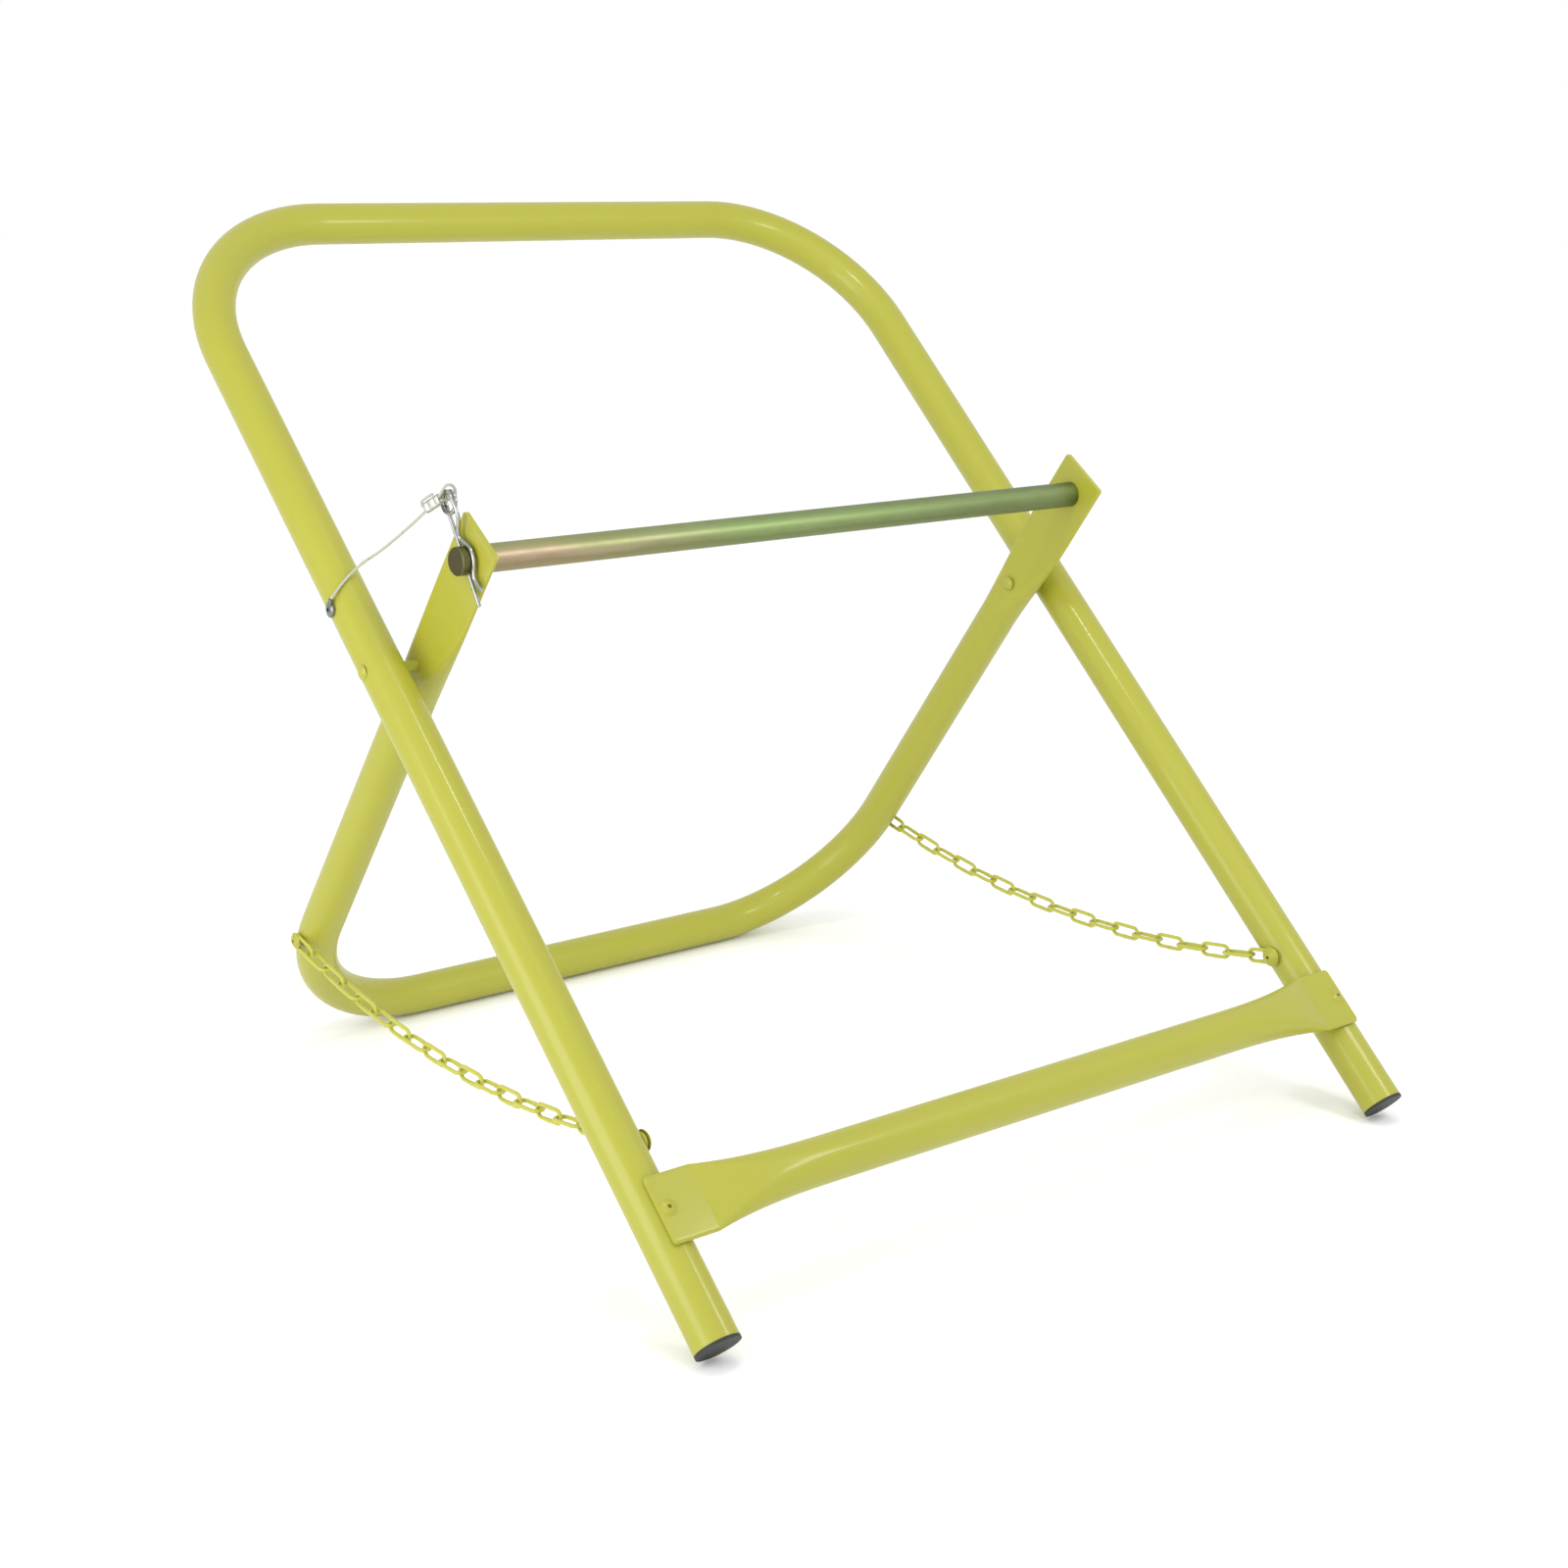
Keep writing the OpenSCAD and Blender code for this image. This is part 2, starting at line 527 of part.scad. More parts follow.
module lanyard_ferrule() {
  barrel_r = cable_d / 2 + ferrule_wall;
  color(zinc) translate(ferrule_low) rotate([0, acos(ferrule_dir[2]), atan2(ferrule_dir[1], ferrule_dir[0])])
    linear_extrude(ferrule_len) {
      circle(r = barrel_r);
      translate([-ferrule_lobe, 0]) circle(r = barrel_r);
      translate([-ferrule_lobe / 2, 0]) square([ferrule_lobe, 2 * barrel_r], center = true);
    }
}

// Stamped eyelet under the lanyard rivet, with a barrel crimped on the cable
module lanyard_eyelet() {
  axis = barrel_high - barrel_low;
  color(zinc) difference() {
    union() {
      translate(eyelet_at) rotate([0, -90, 0]) cylinder(h = eyelet_t, d = eyelet_d);
      translate(barrel_low) rotate([0, acos(axis[2] / norm(axis)), atan2(axis[1], axis[0])])
        cylinder(h = norm(axis) - seat, r = cable_d / 2 + barrel_wall);
    }
    translate(eyelet_at + [over, 0, 0]) rotate([0, -90, 0])
      cylinder(h = eyelet_t + 2 * over, d = blind_d + 2 * seat);
  }
}

module lanyard_rivet() {
  color(zinc) translate(eyelet_at - [eyelet_t + seat, 0, 0]) rotate([0, -90, 0])
    blind_rivet(lanyard_head_d, lanyard_head_h, eyelet_t + 2 * seat + tube_grip);
}

// Front chain rivets hold the first link against the inner side of each long leg
module chain_rivet_front(side) {
  head_x = front_x - link_wire / 2 - seat;
  color(paint) translate([0, front_yz[0], front_yz[1]]) mirror([side < 0 ? 1 : 0, 0, 0])
    translate([head_x, 0, 0]) rotate([0, -90, 0])
      blind_rivet(front_head_d, front_head_h, link_wire + 2 * seat + tube_grip);
}
module chain_rivet_front_left() { chain_rivet_front(-1); }
module chain_rivet_front_right() { chain_rivet_front(1); }

// Rear chain rivets hold the last link against the outer side of each short leg, where its bend starts
module chain_rivet_rear(side) {
  head_x = rear_x + link_wire / 2 + seat;
  color(paint) translate([0, rear_yz[0], rear_yz[1]]) mirror([side < 0 ? 1 : 0, 0, 0])
    translate([head_x, 0, 0]) rotate([0, 90, 0])
      blind_rivet(rear_head_d, rear_head_h, head_x - reel_face(chain_t) + tube_grip + 1);
}
module chain_rivet_rear_left() { chain_rivet_rear(-1); }
module chain_rivet_rear_right() { chain_rivet_rear(1); }

module chain_left_1() { chain(-1, 0, group_2 - 1); }
module chain_left_2() { chain(-1, group_2, group_3 - 1); }
module chain_left_3() { chain(-1, group_3, group_4 - 1); }
module chain_left_4() { chain(-1, group_4, link_count - 1); }
module chain_right_1() { chain(1, 0, group_2 - 1); }
module chain_right_2() { chain(1, group_2, group_3 - 1); }
module chain_right_3() { chain(1, group_3, group_4 - 1); }
module chain_right_4() { chain(1, group_4, link_count - 1); }

main_frame();
reel_frame();
crossbar();
crossbar_rivets();
pivot_rivet_left();
pivot_rivet_right();
foot_plug_left();
foot_plug_right();
axle();
hitch_clip();
lanyard_cable();
lanyard_end_loop();
lanyard_ferrule();
lanyard_eyelet();
lanyard_rivet();
chain_rivet_front_left();
chain_rivet_front_right();
chain_rivet_rear_left();
chain_rivet_rear_right();
chain_left_1();
chain_left_2();
chain_left_3();
chain_left_4();
chain_right_1();
chain_right_2();
chain_right_3();
chain_right_4();
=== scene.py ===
# %% [markdown]
# # Folding cable caddy
# Two frames of bent tube cross at a pair of rivets. The long frame stands on its two plugged feet, the
# short one on its bottom bar, and it carries an axle for reels of cable between two pressed plates.
# Chains keep the frames from sliding apart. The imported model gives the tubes, plates and rivets in their
# exact sizes, so this lesson is about what a camera sees on them: powder coat, yellow zinc, bright wire,
# a coated lanyard and welded links.

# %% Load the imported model
import math
import bmesh
import bpy
from mathutils import Matrix, Vector


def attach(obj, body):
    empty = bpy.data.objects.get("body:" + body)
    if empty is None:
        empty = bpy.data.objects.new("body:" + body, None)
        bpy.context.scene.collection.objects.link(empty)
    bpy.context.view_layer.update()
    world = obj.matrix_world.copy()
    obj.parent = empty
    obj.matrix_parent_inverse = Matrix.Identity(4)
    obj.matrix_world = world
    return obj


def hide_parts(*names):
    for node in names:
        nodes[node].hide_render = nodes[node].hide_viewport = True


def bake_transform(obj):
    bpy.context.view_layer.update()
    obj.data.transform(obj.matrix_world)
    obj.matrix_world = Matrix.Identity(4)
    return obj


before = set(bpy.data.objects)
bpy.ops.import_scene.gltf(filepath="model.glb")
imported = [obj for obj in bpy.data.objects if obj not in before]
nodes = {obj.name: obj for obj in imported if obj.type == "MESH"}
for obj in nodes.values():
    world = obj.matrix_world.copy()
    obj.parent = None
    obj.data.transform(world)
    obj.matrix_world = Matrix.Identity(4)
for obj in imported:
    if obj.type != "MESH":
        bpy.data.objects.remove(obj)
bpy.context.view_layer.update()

# %% [markdown]
# ## Camera
# The photograph was taken from the front left, a little above the axle. Straight tubes are good
# surveyors: their edges, followed in the picture, fix where the lens stood and how long it was. A
# normal lens with no shift reproduces them to a few pixels in 1600.

# %% Camera from the surveyed edges
def add_object(name, data):
    """A new object in the scene that shows some data."""
    added = bpy.data.objects.new(name, data)
    bpy.context.scene.collection.objects.link(added)
    return added


camera = add_object("studio_camera", bpy.data.cameras.new("studio_camera"))
right, up, ahead = (Vector(v).normalized() for v in (
    (0.775158, -0.631165, 0.027569), (0.149227, 0.225325, 0.962788), (0.613890, 0.742199, -0.268849)))
camera.matrix_world = Matrix.Translation((-0.93466, -1.13919, 0.60057)) @ Matrix(
    (right, up, -ahead)).transposed().to_4x4()
camera.data.sensor_width = 36
camera.data.lens = 56.819
camera.data.clip_start, camera.data.clip_end = 0.05, 50
bpy.context.scene.camera = camera
print("lens", camera.data.lens, "mm, looking", [round(c, 3) for c in ahead])

# %% [markdown]
# ## Where the wire and the cable run
# The spring clip is one bent wire: a straight leg through the axle, a coil of one and a half turns,
# and a wavy leg that snaps over the axle. The lanyard keeps the clip from being lost. Both follow a
# smooth curve through a few points, so one small function turns given points into a route.

# %% Smooth route through points
MM = 0.001
CURVE_STEPS = 6


def smooth_route(points, steps=CURVE_STEPS):
    """Points of the even curve that passes through every given point."""
    points = [Vector(p) for p in points]
    route = []
    for i in range(len(points) - 1):
        a, b, c = points[max(i - 1, 0)], points[i], points[i + 1]
        d = points[min(i + 2, len(points) - 1)]
        for k in range(steps):
            q = k / steps
            route.append(0.5 * (2 * b + (c - a) * q + (2 * a - 5 * b + 4 * c - d) * q * q
                                + (3 * b - a - 3 * c + d) * q ** 3))
    return route + [points[-1]]


def route_length(route):
    return sum((b - a).length for a, b in zip(route, route[1:]))


# %% The clip's own directions, and the route of its wire
axle_centre = Vector((0, -17.0035, 353.868))
clip_angle = math.radians(57)
clip_x, clip_wire = -233.6, 2.3
coil_radius, coil_height, coil_turns, coil_points = 6.0, 31.8, 1.5, 48
coil_step = clip_wire + 0.15
points_back = 5


def clip_point(u, v, x=0.0):
    """u runs up the straight leg and v across it, over the front of the axle; x leads outwards."""
    return Vector((clip_x - x,
                   axle_centre.y + u * math.cos(clip_angle) - v * math.sin(clip_angle),
                   axle_centre.z + u * math.sin(clip_angle) + v * math.cos(clip_angle)))


straight_leg = [clip_point(u, 0) for u in (-26.8, -13.4, 0, 10.6, 21.2)]
coil = [clip_point(coil_height + coil_radius * math.sin(a), coil_radius * (1 - math.cos(a)),
                   coil_step * a / math.tau)
        for a in [math.tau * coil_turns * i / coil_points for i in range(coil_points + 1)]]
bent_leg = [(26, 12.4), (20.5, 10.4), (15.5, 5.4), (12.2, 3.6), (8.6, 5.6), (4.4, 8.35), (0, 9.35),
            (-4.4, 8.35), (-8.6, 5.4), (-12.4, 3.8), (-16, 5), (-20.5, 7.2)]
# The coil leaves the wire beside its start, and the first points of the bent leg lead it back.
bent_leg = smooth_route([clip_point(u, v, coil_step * coil_turns * max(0, 1 - (i + 1) / points_back))
                         for i, (u, v) in enumerate(bent_leg)])
clip_route = straight_leg + coil + bent_leg
print("wire in the clip:", round(route_length(clip_route)), "mm")

# %% The route of the lanyard
# The cable leaves eyelet and ferrule straight for the length of the lead. Its two strands lie one lobe
# apart in the ferrule.
coil_middle = clip_point(coil_height, coil_radius, coil_step * coil_turns / 2)
ferrule_length, lead, lobe = 10.6, 0.8, 2.4
ferrule_along = Vector((0.27, -0.8, 0.54)).normalized()
ferrule_side = ferrule_along.cross(Vector((0, 0, 1))).cross(ferrule_along).normalized()
ferrule_high = coil_middle + Vector((-4.95, 0.95, 0.9))
ferrule_low = ferrule_high - ferrule_length * ferrule_along
eyelet = Vector((-271.75, 60.965, 317.484))
barrel_low, barrel_high = eyelet + Vector((-1.15, -1.15, 3.4)), eyelet + Vector((-1.05, -2.2, 6.4))
cable_route = [barrel_high] + smooth_route(
    [barrel_high + lead * (barrel_high - barrel_low).normalized(), (-271.58, 58.144, 325.912),
     (-267.936, 58.328, 329.914), (-263.388, 59.074, 333.887), (-259, 59.888, 336.882),
     (-253.75, 57.262, 342.385), (-250.703, 42.018, 351.602), (-248.076, 28.876, 360.754),
     (-245.555, 16.26, 370.04), ferrule_low - lead * ferrule_along]) + [ferrule_low]
print("lanyard from eyelet to ferrule:", round(route_length(cable_route), 1), "mm")

# %% [markdown]
# ## The lanyard's cable
# It is thin wire rope in a clear coat. It starts on the long frame and ends on the clip, so it crosses
# three joints. A piece can bend between two bodies that share a joint, so the cable is made in three
# lengths end to end: from the long frame to the short one, on to the axle, and on to the clip. Each
# length is a swept tube whose own map runs along and around it, ready for a twisted look.

# %% A swept tube with a map that follows it
def piece_from(form, name):
    """A new piece from a finished bmesh."""
    mesh = bpy.data.meshes.new(name)
    form.to_mesh(mesh)
    form.free()
    return add_object(name, mesh)


def at_the_start():
    """Which way a tube's side first points, and how much of it has been made."""
    return {"side": Vector((1, 0, 0)), "walked": 0.0}


def swept_tube(name, route, radius, sides=16, before=None, after=None, carry=None):
    """A closed round tube along a route in millimetres, as a mesh in metres. The points before and
    after it, and the turn and length carried from the last tube, let it meet its neighbours unseen."""
    carry = carry or at_the_start()
    route = [Vector(p) * MM for p in route]
    outer = ([Vector(before) * MM if before else route[0]] + route
             + [Vector(after) * MM if after else route[-1]])
    form = bmesh.new()
    along = form.loops.layers.uv.new("along")
    rings, places, side, total = [], [], carry["side"], carry["walked"]
    for i, p in enumerate(route):
        heading = (outer[i + 2] - outer[i]).normalized()
        side = (side - heading * side.dot(heading)).normalized()
        other = heading.cross(side)
        total += (p - route[i - 1]).length if i else 0.0
        places.append(total)
        rings.append([form.verts.new(p + radius * MM * (math.cos(a) * side + math.sin(a) * other))
                      for a in [math.tau * k / sides for k in range(sides)]])
    for i in range(len(rings) - 1):
        for k in range(sides):
            n = (k + 1) % sides
            face = form.faces.new((rings[i][k], rings[i][n], rings[i + 1][n], rings[i + 1][k]))
            for loop, (u, v) in zip(face.loops, ((i, k), (i, k + 1), (i + 1, k + 1), (i + 1, k))):
                loop[along].uv = (places[u] / MM, v / sides)
    carry["side"], carry["walked"] = side, total
    form.faces.new(list(reversed(rings[0])))
    form.faces.new(rings[-1])
    for face in form.faces:
        face.smooth = len(face.verts) == 4
    return piece_from(form, name)


# %% Three lengths of cable, one for each span
def even_route(route, count):
    """The same route with its points at equal distances."""
    step, places, walked = route_length(route) / count, [route[0]], 0.0
    for a, b in zip(route, route[1:]):
        length = (b - a).length
        while len(places) < count and walked + length >= step * len(places) - 1e-9:
            places.append(a.lerp(b, (step * len(places) - walked) / length))
        walked += length
    return places + [route[-1]]


cable_radius, tail_radius = 0.8, 0.72
spans = (("main", "reel"), ("reel", "axle_body"), ("axle_body", "clip_body"))
steps_a_length = 20
cable_steps = steps_a_length * len(spans)
whole_cable = even_route(
    cable_route + [ferrule_low.lerp(ferrule_high, q) for q in (0.5, 0.95)], cable_steps)
cable_pieces, carried = [], at_the_start()
for number, (giver, taker) in enumerate(spans):
    first, last = steps_a_length * number, steps_a_length * (number + 1)
    stretch = whole_cable[first:last + 1]
    piece = swept_tube(f"lanyard_cable_length_{number + 1}", stretch, cable_radius,
                       before=whole_cable[first - 1] if first else None,
                       after=whole_cable[last + 1] if last < cable_steps else None, carry=carried)
    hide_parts("lanyard_cable")
    stretch[0] * MM
    stretch[-1] * MM
    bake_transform(piece)
    stretch[0] * MM
    route_length(stretch) * MM
    [p * MM for p in stretch]
    cable_pieces.append(piece)
    print(piece.name, round(route_length(stretch), 1), "mm, from", giver, "to", taker)

# %% [markdown]
# ## Sums written as sums
# A finish is a small calculation for each point of a surface. Wired by hand it fills pages, so two
# helpers keep it readable. `Number` wraps a socket and lets it be added or multiplied like any number.
# `Graph` adds any node from its type, its settings and its inputs. Both serve for materials and for
# geometry, because the two kinds of tree share their Math node.

# %% A socket that calculates, and a graph that builds nodes
class Number:
    def __init__(self, graph, socket):
        self.graph, self.socket = graph, socket

    def sum_of(self, operation, first, second):
        return self.graph.add("ShaderNodeMath", {"operation": operation}, {0: first, 1: second}).out(0)

    def __add__(self, other):
        return self.sum_of("ADD", self, other)

    __radd__ = __add__

    def __mul__(self, other):
        return self.sum_of("MULTIPLY", self, other)

    __rmul__ = __mul__

    def __sub__(self, other):
        return self.sum_of("SUBTRACT", self, other)

    def __rsub__(self, other):
        return self.sum_of("SUBTRACT", other, self)

    def __truediv__(self, other):
        return self.sum_of("DIVIDE", self, other)

    def __mod__(self, other):
        return self.sum_of("FLOORED_MODULO", self, other)

    def clamp(self):
        return self.graph.add("ShaderNodeClamp", {}, {0: self}).out(0)

    def function(self, operation, other=0.0):
        return self.sum_of(operation, self, other)


class Placed:
    def __init__(self, graph, node):
        self.graph, self.node = graph, node

    def out(self, key=0):
        return Number(self.graph, self.node.outputs[key])


class Graph:
    def __init__(self, tree):
        self.tree = tree

    def add(self, kind, settings=None, sockets=None):
        node = self.tree.nodes.new(kind)
        for name, value in (settings or {}).items():
            if name == "stops":
                ramp = node.color_ramp
                while len(ramp.elements) < len(value):
                    ramp.elements.new(0.5)
                for element, (place, colour) in zip(ramp.elements, value):
                    element.position, element.color = place, (*colour, 1)
            else:
                setattr(node, name, value)
        for key, value in (sockets or {}).items():
            if isinstance(value, Number):
                self.tree.links.new(value.socket, node.inputs[key])
            else:
                node.inputs[key].default_value = value
        node.location = (200 * (len(self.tree.nodes) % 12), -220 * (len(self.tree.nodes) // 12))
        return Placed(self, node)


# %% Starting a material
def linear(*colour):
    """The linear values of a screen colour given as 0 to 255."""
    return tuple(c / 255 / 12.92 if c / 255 <= 0.04045 else ((c / 255 + 0.055) / 1.055) ** 2.4
                 for c in colour)


def new_finish(name):
    material = bpy.data.materials.new(name)
    material.use_nodes = True
    material.node_tree.nodes.clear()
    graph = Graph(material.node_tree)
    shader = graph.add("ShaderNodeBsdfPrincipled")
    graph.add("ShaderNodeOutputMaterial", {}, {"Surface": shader.out(0)})
    graph.place = graph.add("ShaderNodeTexCoord").out("Object")
    return material, graph, shader.node


def noise(graph, scale, detail, **more):
    """Soft random spots over the surface, from 0 to 1. The scale is how many lie in a metre."""
    return graph.add("ShaderNodeTexNoise", {}, {"Vector": graph.place, "Scale": scale, "Detail": detail,
                                                **more}).out(0)


def bumps(graph, height, strength, distance):
    """The surface's direction under a relief, whose height runs from 0 to 1 of a distance in metres."""
    return graph.add("ShaderNodeBump", {}, {"Strength": strength, "Distance": distance,
                                            "Height": height}).out(0)


def blend_colours(graph, amount, first, second):
    first, second = (c if isinstance(c, Number) else (*c, 1) for c in (first, second))
    return graph.add("ShaderNodeMix", {"data_type": "RGBA"}, {0: amount, 6: first, 7: second}).out(2)


def feed(graph, shader, **links):
    for name, value in links.items():
        socket = shader.inputs[name.replace("_", " ")]
        if isinstance(value, Number):
            graph.tree.links.new(value.socket, socket)
        else:
            socket.default_value = value


# %% [markdown]
# ## Yellow-green powder coat
# Powder is sprayed dry and baked, so it flows into a thick skin with a faint orange-peel swell and a
# soft gloss. Its colour is even, with slight clouds where the film is thicker. The swell is a bump with
# waves of about a millimetre and a half, and the gloss comes from a thin clear layer over a rougher base.
# The links share this coat; they get a paler copy of it, painted lighter for the light that they catch.

# %% Powder coat
def powder_coat(name, colour, cloud):
    material, graph, shader = new_finish(name)
    clouds, swell, fine = noise(graph, 9.0, 3.0), noise(graph, 620.0, 2.0), noise(graph, 2600.0, 1.0)
    feed(graph, shader, Base_Color=blend_colours(graph, clouds, colour, cloud),
         Roughness=0.4 + 0.1 * swell, Normal=bumps(graph, swell + fine * 0.25, 0.12, 0.0006))
    shader.inputs["Coat Weight"].default_value = 0.3
    shader.inputs["Coat Roughness"].default_value = 0.12
    shader.inputs["IOR"].default_value = 1.45
    return material


yellow_green = linear(161, 160, 45)
paint = powder_coat("frame_powder_coat", yellow_green, linear(156, 155, 41))
# The links' paler copy of the coat is painted light, standing in for the light the thin links catch.
chain_paint_painted_lighter = powder_coat("chain_powder_coat_painted_lighter", linear(180, 179, 64), linear(173, 172, 59))
print("powder coat:", [round(c, 3) for c in yellow_green])

# %% [markdown]
# ## Yellow zinc
# The axle is zinc plated and then dipped in a yellow passivate, which leaves a film so thin that it
# shows interference colours. They change with its thickness: rose at one end of the bar, then green,
# then moss. They lie in soft bands along the bar, and the drawn steel under them has fine lines. So a
# place's colour comes from how far round the bar it lies, by three ramps, and from how far along the
# bar, by the blend between the ramps. The ramps round the bar also hold painted light: a painted
# highlight on the front, a little above the middle, and painted shade towards the top and the underside.

# %% Yellow zinc
axle_radius = 7.95
# Each ramp runs round the bar: its paler middle stops are a painted highlight on the front, and its darker
# ends are painted shade towards the top and the underside.
ROSE_WITH_PAINTED_LIGHT = ((0.30, (147, 140, 97)), (0.44, (147, 131, 100)), (0.50, (170, 149, 125)),
        (0.56, (166, 153, 122)), (0.63, (152, 150, 104)), (0.74, (143, 148, 102)))
GREEN_WITH_PAINTED_LIGHT = ((0.30, (120, 133, 86)), (0.44, (118, 132, 84)), (0.53, (138, 156, 103)),
         (0.62, (136, 156, 102)), (0.70, (122, 138, 89)), (0.80, (114, 129, 88)))
MOSS_WITH_PAINTED_LIGHT = ((0.30, (118, 131, 84)), (0.44, (104, 116, 73)), (0.53, (122, 137, 90)),
        (0.62, (132, 149, 98)), (0.70, (112, 126, 80)), (0.80, (100, 112, 77)))
rose_end, rose_fade, green_fade = -0.19, 0.14, 0.17
past_clip, cut_end = -0.2335, -0.2392


def film_with_painted_light(graph, stops, place):
    """Colour at a place round the bar, from stops in screen colours: the film's tint with a painted
    highlight and painted shade.
    """
    return graph.add("ShaderNodeValToRGB", {"stops": [(at, linear(*colour)) for at, colour in stops]},
                     {0: place}).out(0)


def yellow_zinc(name):
    material, graph, shader = new_finish(name)
    apart = graph.add("ShaderNodeSeparateXYZ", {}, {0: graph.place})
    x, y, z = (apart.out(i) for i in range(3))
    up_side = (z - axle_centre.z * MM) / (axle_radius * MM)
    front_side = (axle_centre.y * MM - y) / (axle_radius * MM)
    turn = up_side.function("ARCTAN2", front_side) / math.pi
    drift, patches = noise(graph, 14.0, 4.0, Roughness=0.6), noise(graph, 95.0, 3.0)
    stretched = graph.add("ShaderNodeMapping", {"vector_type": "POINT"},
                          {"Vector": graph.place, "Scale": (12.0, 900.0, 900.0)}).out(0)
    lines = graph.add("ShaderNodeTexNoise", {}, {"Vector": stretched, "Scale": 1.0, "Detail": 2.0}).out(0)
    # The place round the bar picks the ramp's stop, and with it the painted highlight and painted shade.
    band = (turn * 0.5 + 0.5 + 0.16 * (drift - 0.5) + 0.07 * (patches - 0.5)).clamp()
    past_rose = ((x - rose_end) / rose_fade + 0.4 * (drift - 0.5)).clamp()
    past_green = (x / green_fade + 0.4 * (drift - 0.5)).clamp()
    colour = blend_colours(graph, past_rose, film_with_painted_light(graph, ROSE_WITH_PAINTED_LIGHT, band), film_with_painted_light(graph, GREEN_WITH_PAINTED_LIGHT, band))
    colour = blend_colours(graph, past_green, colour, film_with_painted_light(graph, MOSS_WITH_PAINTED_LIGHT, band))
    # Past the clip the bar is painted darker, and its cut end face is painted dark as painted shade.
    outside, face = x.function("LESS_THAN", past_clip), x.function("LESS_THAN", cut_end)
    colour = blend_colours(graph, outside * 0.8, colour, linear(88, 92, 54))
    colour = blend_colours(graph, face, colour, linear(72, 66, 38))
    feed(graph, shader, Base_Color=colour, Roughness=0.38 + 0.14 * patches + 0.12 * face,
         Metallic=0.9 - 0.3 * face, Normal=bumps(graph, lines, 0.12, 0.0002))
    return material


axle_zinc = yellow_zinc("axle_yellow_zinc")
print("yellow zinc bands turn about", [round(c, 1) for c in axle_centre])

# %% [markdown]
# ## Bright wire, crimped metal, clear coat and black plugs
# Five small finishes close the list. The clip is bright zinc wire with a fine grain, and the eyelet and
# rivet of the lanyard are a little greyer. The ferrule is soft metal pressed in a tool, so it is duller.
# The cable's coat is clear, so the twisted strands show as slanting stripes on its own map. The foot
# plugs are matt moulded plastic.

# %% Bright zinc and crimped metal
def plain_metal(name, colour, shade, roughness, grain):
    material, graph, shader = new_finish(name)
    spots, fine = noise(graph, 260.0, 3.0), noise(graph, grain, 2.0)
    feed(graph, shader, Base_Color=blend_colours(graph, spots, colour, shade),
         Roughness=roughness + 0.16 * (fine - 0.5), Normal=bumps(graph, fine, 0.1, 0.0001))
    shader.inputs["Metallic"].default_value = 1.0
    return material


bright_zinc = plain_metal("clip_bright_zinc", linear(190, 192, 188), linear(128, 130, 124), 0.17, 1800.0)
crimped = plain_metal("ferrule_soft_metal", linear(196, 200, 190), linear(170, 174, 162), 0.42, 1400.0)
rivet_steel = plain_metal("lanyard_rivet_steel", linear(150, 152, 147), linear(98, 100, 94), 0.28, 1500.0)

# %% The cable's coat over twisted strands
strands, lay_length = 7.0, 9.0


def coated_cable(name):
    material, graph, shader = new_finish(name)
    own_map = graph.add("ShaderNodeUVMap", {"uv_map": "along"}).out(0)
    apart = graph.add("ShaderNodeSeparateXYZ", {}, {0: own_map})
    length, round_it = apart.out(0), apart.out(1)
    twist = ((length / lay_length + round_it) * strands * math.tau).function("SINE") * 0.5 + 0.5
    haze = noise(graph, 500.0, 2.0)
    colour = blend_colours(graph, twist * 0.55 + haze * 0.3, linear(146, 148, 130), linear(192, 194, 176))
    feed(graph, shader, Base_Color=colour, Roughness=0.22 + 0.15 * haze,
         Normal=bumps(graph, twist, 0.08, 0.0002))
    shader.inputs["Coat Weight"].default_value = 0.6
    shader.inputs["Coat Roughness"].default_value = 0.08
    return material


cable_coat = coated_cable("lanyard_clear_coat")
for piece in cable_pieces:
    piece.data.materials.append(cable_coat)

# %% Moulded plugs
def moulded_black(name):
    material, graph, shader = new_finish(name)
    grain, scuff = noise(graph, 1500.0, 3.0), noise(graph, 160.0, 4.0)
    feed(graph, shader, Base_Color=blend_colours(graph, scuff, linear(25, 27, 23), linear(46, 48, 42)),
         Roughness=0.5 + 0.2 * grain, Normal=bumps(graph, grain, 0.25, 0.0002))
    return material


plug_black = moulded_black("plug_moulded_black")
print("finishes:", [m.name for m in (paint, chain_paint_painted_lighter, axle_zinc, bright_zinc, crimped, rivet_steel,
                                     cable_coat, plug_black)])

# %% [markdown]
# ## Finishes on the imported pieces
# The tubes, plates, rivets, plugs and axle already have their true shapes. They keep them, and only
# the material in their slots changes.

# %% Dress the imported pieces
def dress(material, *names):
    for name in names:
        mesh = nodes[name].data
        mesh.materials.clear()
        mesh.materials.append(material)


dress(paint, "main_frame", "reel_frame", "crossbar_rivets", "pivot_rivet_left",
      "pivot_rivet_right", "chain_rivet_front_left", "chain_rivet_front_right",
      "chain_rivet_rear_left", "chain_rivet_rear_right")
dress(axle_zinc, "axle")
dress(plug_black, "foot_plug_left", "foot_plug_right")
dress(rivet_steel, "lanyard_eyelet", "lanyard_rivet")
print("dressed", sum(1 for n in nodes.values() if n.data.materials), "of", len(nodes))

# %% [markdown]
# ## The pressed crossbar
# A press turns each end of the crossbar into a flat with a crease, and from there the tube swells back to
# round. Pressing doesn't stretch the wall, so every cross-section keeps the girth of the round tube: two
# straight sides joined by two half circles. A glossy coat shows every step in a form like this, so it is
# lofted again here from close rings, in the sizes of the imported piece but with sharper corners.

